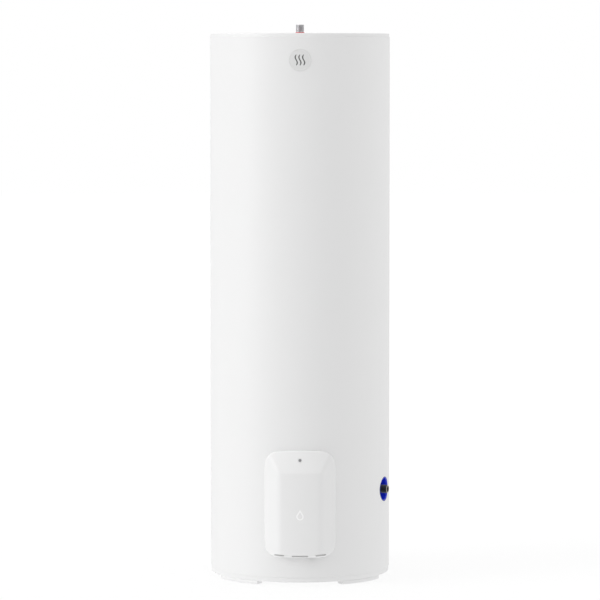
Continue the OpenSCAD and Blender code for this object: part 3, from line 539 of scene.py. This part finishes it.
def thread_rings(place, start, end, segments):
    """Rings that climb one pitch in a turn, so that their crests make a true helix."""
    rows = int((end - start) / PITCH + 1) * len(THREAD_PROFILE)
    rings = []
    for k in range(-len(THREAD_PROFILE), rows + 1):
        lift = THREAD_DEPTH * THREAD_PROFILE[k % len(THREAD_PROFILE)]
        ring = []
        for i in range(segments):
            turn_share = i / segments
            z = start + PITCH * (k / len(THREAD_PROFILE) + turn_share)
            fade = min(z - start, end - z) * THREAD_FADE
            r = THREAD_R - THREAD_DEPTH + max(min(lift, fade), 0)
            t = 2 * math.pi * turn_share
            z = min(max(z, start), end)
            ring.append(place @ Vector((r * math.cos(t), r * math.sin(t), z)))
        rings.append(ring)
    return rings


def make_pipe(name, node, place, inner, outer, side, face, segments=72):
    """A pipe stub with a threaded outer end. Its cut end face has a material of its own."""
    root = THREAD_R - THREAD_DEPTH
    step = len(THREAD_PROFILE)
    rings = [turn(place, BORE_R, inner, segments), turn(place, PIPE_R, inner, segments),
             turn(place, PIPE_R, outer - THREAD_LEN - 1 * MM, segments)]
    first = len(rings)
    rings += thread_rings(place, outer - THREAD_LEN, outer - 0.8 * MM, segments)
    last = len(rings) - 1
    rings += [turn(place, root - 0.4 * MM, outer, segments),
              turn(place, BORE_R + 0.5 * MM, outer, segments),
              turn(place, BORE_R, outer - 0.5 * MM, segments)]
    verts, faces = join_rings(rings)
    n = segments
    faces = [f for f in faces if not (f[0] % n == n - 1 and first <= f[0] // n < last)]
    for k in range(first, last):
        a, b = min(k + step, last), min(k + step + 1, last)
        faces.append((k * n + n - 1, a * n, b * n, (k + 1) * n + n - 1))
    piece = add_piece(name, verts, faces, "heater", side, smooth=30)
    weld = bmesh.new()
    weld.from_mesh(piece.data)
    bmesh.ops.remove_doubles(weld, verts=weld.verts, dist=0.01 * MM)
    bmesh.ops.dissolve_degenerate(weld, edges=weld.edges, dist=0.005 * MM)
    bmesh.ops.recalc_face_normals(weld, faces=weld.faces)
    weld.to_mesh(piece.data)
    weld.free()
    piece.data.materials.append(face)
    down = place.inverted()
    for polygon in piece.data.polygons:
        middle = down @ polygon.center
        if middle.z > outer - 0.6 * MM and math.hypot(middle.x, middle.y) > BORE_R + 0.2 * MM:
            polygon.material_index = 1
    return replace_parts(piece, node)


hot_lo, hot_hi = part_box("hot_outlet_pipe")
make_pipe("hot_outlet_stub", "hot_outlet_pipe", UPRIGHT, hot_lo.z, hot_hi.z,
          MATERIALS["steel"], MATERIALS["steel"])


# ---- cold inlet ----

INLET_OUT = facing_out(INLET_AZIMUTH, inlet_z)
CUP_R = 38 * MM
CUP_WALL_R = 34 * MM
CUP_FLOOR = R - 26 * MM
INLET_END = R + 12 * MM
INLET_INNER = R - 68.5 * MM


def on_jacket(r, t, lift):
    """A point of the inlet's place, lift above the jacket's curved surface."""
    x, y = r * math.cos(t), r * math.sin(t)
    return INLET_OUT @ Vector((x, y, math.sqrt(R ** 2 - x ** 2) + lift))


def make_inlet_cup(segments=128):
    """The blue recess: a soft lip that follows the jacket, a straight wall and a floor."""
    lip = [(CUP_R, 0.1), (CUP_R - 0.3 * MM, 0.6), (CUP_R - 1 * MM, 0.8), (CUP_R - 1.8 * MM, 0.5),
           (CUP_R - 2.6 * MM, -0.3), (CUP_R - 3.3 * MM, -1.8), (CUP_R - 3.8 * MM, -3.8),
           (CUP_WALL_R, -6.0)]
    rings = [[on_jacket(r, t, lift * MM) for t in angles(segments)] for r, lift in lip]
    for r, up in ((CUP_WALL_R, 4), (CUP_WALL_R - 0.9 * MM, 1.2), (CUP_WALL_R - 3 * MM, 0),
                  (PIPE_R + 3 * MM, 0), (PIPE_R + 0.4 * MM, -1), (PIPE_R + 0.4 * MM, -2.5),
                  (CUP_WALL_R + 2 * MM, -2.5)):
        rings.append(turn(INLET_OUT, r, CUP_FLOOR + up * MM, segments))
    for r, lift in ((CUP_WALL_R + 2 * MM, -4 * MM), (CUP_WALL_R + 2.1 * MM, 0.1 * MM)):
        rings.append([on_jacket(r, t, lift) for t in angles(segments)])
    verts, faces = join_rings(rings)
    cup = add_piece("cold_inlet_recess", verts, faces, "heater", MATERIALS["blue_plastic"], 40)
    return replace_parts(cup, "cold_inlet_cup")


def make_inlet_seal_and_shade_line(segments=128):
    """A thin black rubber seal under the cup's lip, by the jacket, which also stands in for the shadow
    gap there as painted shade.
    """
    outline = [(CUP_R - 0.5 * MM, 0.05), (CUP_R + 0.9 * MM, 0.05), (CUP_R + 1.1 * MM, 0.3),
               (CUP_R + 0.8 * MM, 0.6), (CUP_R - 0.3 * MM, 0.55)]
    verts, faces = join_rings([[on_jacket(r, t, lift * MM) for t in angles(segments)]
                               for r, lift in outline])
    return add_piece("cold_inlet_seal_and_shade_line", verts, faces, "heater", MATERIALS["rubber"], 40)


# the inlet stub's dark bluish steel is painted reflection of the blue recess round it
make_pipe("cold_inlet_stub", "cold_inlet_pipe", INLET_OUT, INLET_INNER, INLET_END,
          MATERIALS["blue_shaded_steel"], MATERIALS["face_steel"])
make_inlet_cup()
# a black ring that is partly a real seal and partly painted shade for the gap by the jacket
make_inlet_seal_and_shade_line()


# ---- badge ----

badge_lo, badge_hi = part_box("badge")
BADGE_Z = (badge_lo.z + badge_hi.z) / 2
BADGE_R = (badge_hi.z - badge_lo.z) / 2
BADGE_HEIGHTS = ((0, 1.3), (6, 1.28), (12, 1.2), (18, 1.08), (24, 0.9), (29, 0.75), (31.2, 0.7),
                 (31.8, 0.75), (32.3, 1.2), (33, 1.5), (33.9, 1.5), (34.6, 1.2), (35, 0.6),
                 (35, 0.05))                   # radius and height off the jacket, in mm
LINE_H = 34 * MM                               # height of the badge's heat lines
LINE_W = 4.2 * MM
LINE_GAP = 11.5 * MM
LINE_WAVE = 3.2 * MM                           # how far they swing to either side


def on_badge(x, z, lift):
    """A point by the badge's middle, lift above the jacket."""
    return on_cylinder(x, BADGE_Z + z, math.sqrt((R + lift) ** 2 - x ** 2))


def make_badge(segments=96):
    """A dished disc with a raised rim that follows the jacket."""
    rings = []
    scale = BADGE_R / BADGE_HEIGHTS[-1][0]
    for radius, lift in BADGE_HEIGHTS[1:] + ((34, 0.05),):
        rings.append([on_badge(radius * scale * math.cos(t), radius * scale * math.sin(t), lift * MM)
                      for t in angles(segments)])
    verts, faces = join_rings(rings, closed=False)
    for end, lift in ((0, BADGE_HEIGHTS[0][1]), (len(rings) - 1, 0.05)):
        middle = len(verts)
        verts.append(on_badge(0, 0, lift * MM))
        faces += [(end * segments + i, end * segments + (i + 1) % segments, middle)
                  for i in range(segments)]
    badge = add_piece("round_badge", verts, faces, "heater", MATERIALS["badge_white"], 50)
    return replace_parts(badge, "badge")


def badge_lift(x, z):
    """The badge's height off the jacket at a point of its middle, in millimetres."""
    r = math.hypot(x, z) / MM
    for (r0, h0), (r1, h1) in zip(BADGE_HEIGHTS, BADGE_HEIGHTS[1:]):
        if r0 <= r <= r1 and r1 > r0:
            return h0 + (h1 - h0) * (r - r0) / (r1 - r0)
    return 0.7


def make_heat_lines():
    """Three plain wavy strokes that stand for warmth, printed on the badge."""
    verts, faces = [], []
    steps, ring = 40, 8
    for k in (-1, 0, 1):
        base = len(verts)
        for i in range(steps + 1):
            u = i / steps
            z = (u - 0.5) * LINE_H
            middle = k * LINE_GAP + LINE_WAVE * math.sin(2 * math.pi * u)
            half = LINE_W / 2 * math.sqrt(max(1 - (2 * u - 1) ** 8, 0.02))
            for t in angles(ring):
                x = middle + half * math.cos(t)
                lift = badge_lift(x, z) + (0.12 if math.sin(t) > 0 else -0.2)
                verts.append(on_badge(x, z, lift * MM))
        for i in range(steps):
            for j in range(ring):
                a, b = base + i * ring, base + (i + 1) * ring
                faces.append((a + j, a + (j + 1) % ring, b + (j + 1) % ring, b + j))
        faces.append(tuple(base + j for j in range(ring)))
        faces.append(tuple(base + steps * ring + j for j in range(ring)))
    return add_piece("badge_heat_lines", verts, faces, "heater", MATERIALS["badge_grey"], 40)


make_badge()
make_heat_lines()


# ---- thermostat, wires and plate ----

body_lo, body_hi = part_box("thermostat_body")
dial_lo, dial_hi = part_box("temperature_dial")
DIAL_X = (dial_lo.x + dial_hi.x) / 2
DIAL_Z = (dial_lo.z + dial_hi.z) / 2
DIAL_TURN = math.radians(135)                  # either way from the middle
SCALE_MARKS = 9
SCALE_R = 14 * MM
MARK_W = 0.9 * MM
MARK_LEN = 2.4 * MM
LONG_MARK_LEN = 4.2 * MM
PRINT = 0.12 * MM                              # how far printed marks stand proud


def box_mesh(verts, faces, place, width, height, low, high):
    """Adds a bar to a mesh: width along X and height along Y of place, from low to high in Z."""
    base = len(verts)
    for z in (low, high):
        for sx, sy in ((-1, -1), (1, -1), (1, 1), (-1, 1)):
            verts.append(place @ Vector((sx * width / 2, sy * height / 2, z)))
    faces += [tuple(base + i for i in q) for q in
              ((3, 2, 1, 0), (4, 5, 6, 7), (0, 1, 5, 4), (1, 2, 6, 5), (2, 3, 7, 6), (3, 0, 4, 7))]


def on_front_face(x, z):
    """A place on the thermostat's front face whose Z points forward."""
    return Matrix.Translation((x, body_lo.y, z)) @ Matrix.Rotation(math.pi / 2, 4, "X")


def make_scale():
    """Marks round the temperature dial, longer at both ends and in the middle."""
    verts, faces = [], []
    for k in range(SCALE_MARKS):
        turn_by = DIAL_TURN * (1 - 2 * k / (SCALE_MARKS - 1))
        place = on_front_face(DIAL_X, DIAL_Z) @ Matrix.Rotation(turn_by, 4, "Z") \
            @ Matrix.Translation((0, SCALE_R, 0))
        length = LONG_MARK_LEN if k % 4 == 0 else MARK_LEN
        box_mesh(verts, faces, place, MARK_W, length, -PRINT, PRINT)
    return add_piece("thermostat_scale", verts, faces, "heater", MATERIALS["badge_grey"])


def cross_screw(name, place, radius, body, material):
    """A domed screw head with a cross recess, seated on the Z = 0 plane of place."""
    dome = [(0.02 * MM, 0.55 * radius), (radius * 0.5, 0.5 * radius), (radius * 0.85, 0.32 * radius),
            (radius, 0.08 * radius), (radius, -0.3 * MM), (0.02 * MM, -0.3 * MM)]
    head = lathe(name, dome, body, material, place, segments=32)
    cutters = []
    for k in (0, 1):
        verts, faces = [], []
        box_mesh(verts, faces, place @ Matrix.Rotation(math.pi * (k / 2 + 0.15), 4, "Z"),
                 radius * 1.15, radius * 0.24, radius * 0.2, radius)
        cutters.append(new_object("cutter", verts, faces))
    cut(head, cutters)
    finish_piece(head, body, material)


def make_thermostat_screws():
    """One screw near each corner of the thermostat's front."""
    inset = 6.5 * MM
    for side, x in (("left", body_lo.x + inset), ("right", body_hi.x - inset)):
        for level, z in (("lower", body_lo.z + inset), ("upper", body_hi.z - inset)):
            cross_screw(f"thermostat_screw_{level}_{side}", on_front_face(x, z), 2.6 * MM,
                        "heater", MATERIALS["zinc"])


plate_lo, plate_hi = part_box("rating_plate")
PLATE_AZIMUTH = math.radians(-150)
PLATE_Z = (plate_lo.z + plate_hi.z) / 2
PLATE_W = 110 * MM
PLATE_H = plate_hi.z - plate_lo.z


def on_wall(along, z, lift):
    """A point by the rating plate's middle, along the jacket, up, and off its surface."""
    a = PLATE_AZIMUTH + along / R
    return Vector(((R + lift) * math.sin(a), AXIS_Y - (R + lift) * math.cos(a), z))


def make_plate_border(count=24):
    """A plain printed line round the rating plate, which is left bare."""
    verts, faces = [], []
    lift = 0.6 * MM
    half_w, half_h, line = PLATE_W / 2 - 4 * MM, PLATE_H / 2 - 4 * MM, 0.9 * MM
    strips = [(-half_w, half_w, z, z + line) for z in (-half_h, half_h - line)]
    strips += [(x, x + line, -half_h, half_h) for x in (-half_w, half_w - line)]
    for x0, x1, z0, z1 in strips:
        base = len(verts)
        for i in range(count + 1):
            x = x0 + (x1 - x0) * i / count
            for z, up in ((z0, lift), (z1, lift), (z1, lift + PRINT), (z0, lift + PRINT)):
                verts.append(on_wall(x, PLATE_Z + z, up))
        for i in range(count):
            a, b = base + 4 * i, base + 4 * (i + 1)
            faces += [(a + j, a + (j + 1) % 4, b + (j + 1) % 4, b + j) for j in range(4)]
        faces += [tuple(base + j for j in range(4)), tuple(base + 4 * count + j for j in range(4))]
    return add_piece("rating_plate_border", verts, faces, "heater", MATERIALS["badge_grey"])


make_scale()
make_thermostat_screws()
make_plate_border()


# ---- softened edges ----

SOFT_EDGES = (                                 # bevel in millimetres, and the pieces it is for
    (1.0, ("foot_front_left", "foot_front_right", "foot_rear_left", "foot_rear_right")),
    (0.25, ("top_lid", "bottom_pan")),
    (0.8, ("thermostat_body", "terminal_block", "element_head")),
    (0.4, ("heater_flange", "flange_nuts", "anode_nut", "temperature_dial", "reset_button",
           "cover_screw", "hot_outlet_ring", "cable_gland", "element_terminals",
           "terminal_screws", "earth_screw", "foot_nuts", "foot_bolts")),
)
ROUND_WIRES = ("wire_live", "wire_neutral", "wire_element_live", "wire_element_neutral",
               "wire_earth")


def weld(piece):
    """Joins the split vertices of a CAD mesh."""
    piece.modifiers.new("weld", "WELD").merge_threshold = 0.01 * MM


def soften(piece, width):
    """Rounds the sharp edges of a CAD mesh."""
    weld(piece)
    bevel = piece.modifiers.new("bevel", "BEVEL")
    bevel.width = width
    bevel.segments = 3
    bevel.limit_method = "ANGLE"
    bevel.angle_limit = math.radians(40)
    bevel.harden_normals = True


def round_off(piece):
    """Makes a many-sided wire round."""
    weld(piece)
    smooth = piece.modifiers.new("smooth", "SUBSURF")
    smooth.levels = smooth.render_levels = 2


for edge_width, names in SOFT_EDGES:
    for node_name in names:
        soften(nodes[node_name], edge_width * MM)
for node_name in ROUND_WIRES:
    round_off(nodes[node_name])


# ---- floor, light and camera ----

FLOOR_HALF = 30.0
FLOOR_SHADE = 0.2                              # the share of the floor's white that can be shaded


def make_floor():
    """White, with a soft shadow where the heater stands; only the camera sees it, from above."""
    corners = [(sx * FLOOR_HALF, sy * FLOOR_HALF, 0) for sx, sy in ((-1, -1), (1, -1), (1, 1), (-1, 1))]
    floor = new_object("floor", corners, [(0, 1, 2, 3)])
    mat = bpy.data.materials.new("floor_white")
    mat.use_nodes = True
    tree = mat.node_tree
    tree.nodes.clear()
    out = tree.nodes.new("ShaderNodeOutputMaterial")
    path = tree.nodes.new("ShaderNodeLightPath")
    side = tree.nodes.new("ShaderNodeNewGeometry")
    white = tree.nodes.new("ShaderNodeEmission")
    lit = tree.nodes.new("ShaderNodeBsdfDiffuse")
    lit.inputs["Color"].default_value = (0.95, 0.95, 0.95, 1)
    ground = tree.nodes.new("ShaderNodeMixShader")
    ground.inputs["Fac"].default_value = FLOOR_SHADE
    tree.links.new(white.outputs[0], ground.inputs[1])
    tree.links.new(lit.outputs[0], ground.inputs[2])
    clear = tree.nodes.new("ShaderNodeBsdfTransparent")
    seen = tree.nodes.new("ShaderNodeMath")
    seen.operation = "SUBTRACT"
    seen.use_clamp = True
    mix = tree.nodes.new("ShaderNodeMixShader")
    tree.links.new(path.outputs["Is Camera Ray"], seen.inputs[0])
    tree.links.new(side.outputs["Backfacing"], seen.inputs[1])
    tree.links.new(seen.outputs[0], mix.inputs["Fac"])
    tree.links.new(clear.outputs[0], mix.inputs[1])
    tree.links.new(ground.outputs[0], mix.inputs[2])
    tree.links.new(mix.outputs[0], out.inputs["Surface"])
    floor.data.materials.append(mat)


LIGHT_LEVEL = 0.70                             # the same from every side
LIGHT_LEAN = (0.10, 0.10, 0.40)                # brighter from the right, from behind and from above
FLOOR_BOUNCE = 1.20                            # the pale floor's light from straight below
SOFTBOX_LEVEL = 6.75                           # a soft round lamp on the left
SOFTBOX_AZIMUTH = math.radians(-71.4)          # round from the front
SOFTBOX_HEIGHT = math.radians(20)
SOFTBOX_TIGHTNESS = 35.0                       # larger is a smaller lamp


def make_world():
    """White for the camera. Everything else sees a studio that changes gently round it."""
    world = bpy.data.worlds.new("studio")
    bpy.context.scene.world = world
    world.use_nodes = True
    tree = world.node_tree
    tree.nodes.clear()

    def math_node(kind, a, b):
        node = tree.nodes.new("ShaderNodeMath")
        node.operation = kind
        for slot, value in enumerate((a, b)):
            if isinstance(value, (int, float)):
                node.inputs[slot].default_value = value
            else:
                tree.links.new(value, node.inputs[slot])
        return node.outputs[0]

    coords = tree.nodes.new("ShaderNodeTexCoord")
    split = tree.nodes.new("ShaderNodeSeparateXYZ")
    tree.links.new(coords.outputs["Generated"], split.inputs[0])
    x, y, z = split.outputs
    level = LIGHT_LEVEL
    for axis, lean in zip((x, y, z), LIGHT_LEAN):
        level = math_node("ADD", level, math_node("MULTIPLY", axis, lean))
    aim = (math.sin(SOFTBOX_AZIMUTH) * math.cos(SOFTBOX_HEIGHT),
           -math.cos(SOFTBOX_AZIMUTH) * math.cos(SOFTBOX_HEIGHT), math.sin(SOFTBOX_HEIGHT))
    facing = -1.0
    for axis, part in zip((x, y, z), aim):
        facing = math_node("ADD", facing, math_node("MULTIPLY", axis, part))
    lamp = math_node("EXPONENT", math_node("MULTIPLY", facing, SOFTBOX_TIGHTNESS), 0.0)
    level = math_node("ADD", level, math_node("MULTIPLY", lamp, SOFTBOX_LEVEL))
    below = math_node("MAXIMUM", math_node("MULTIPLY", z, -1.0), 0.0)
    bounce = math_node("MULTIPLY", math_node("MULTIPLY", below, below), FLOOR_BOUNCE)
    level = math_node("MAXIMUM", math_node("ADD", level, bounce), 0.0)
    path = tree.nodes.new("ShaderNodeLightPath")
    camera_ray = path.outputs["Is Camera Ray"]
    level = math_node("ADD", math_node("MULTIPLY", level, math_node("SUBTRACT", 1.0, camera_ray)),
                      camera_ray)
    light = tree.nodes.new("ShaderNodeBackground")
    out = tree.nodes.new("ShaderNodeOutputWorld")
    light.inputs["Color"].default_value = (1, 1, 1, 1)
    tree.links.new(level, light.inputs["Strength"])
    tree.links.new(light.outputs[0], out.inputs["Surface"])


CAMERA_DISTANCE = 10.5075                      # from the tank's axis
CAMERA_Z = 1.65325
CAMERA_PITCH = math.radians(4.19)              # downwards
LENS = 196.39                                  # focal length and sensor, in millimetres
SENSOR = 36.0


def make_camera():
    data = bpy.data.cameras.new("camera")
    data.sensor_width = SENSOR
    data.lens = LENS
    data.clip_end = 100.0
    camera = bpy.data.objects.new("camera", data)
    bpy.context.scene.collection.objects.link(camera)
    camera.location = (0.0, AXIS_Y - CAMERA_DISTANCE, CAMERA_Z)
    camera.rotation_euler = (math.pi / 2 - CAMERA_PITCH, 0.0, 0.0)
    bpy.context.scene.camera = camera


make_floor()
make_world()
make_camera()
bpy.context.scene.view_settings.view_transform = "Standard"
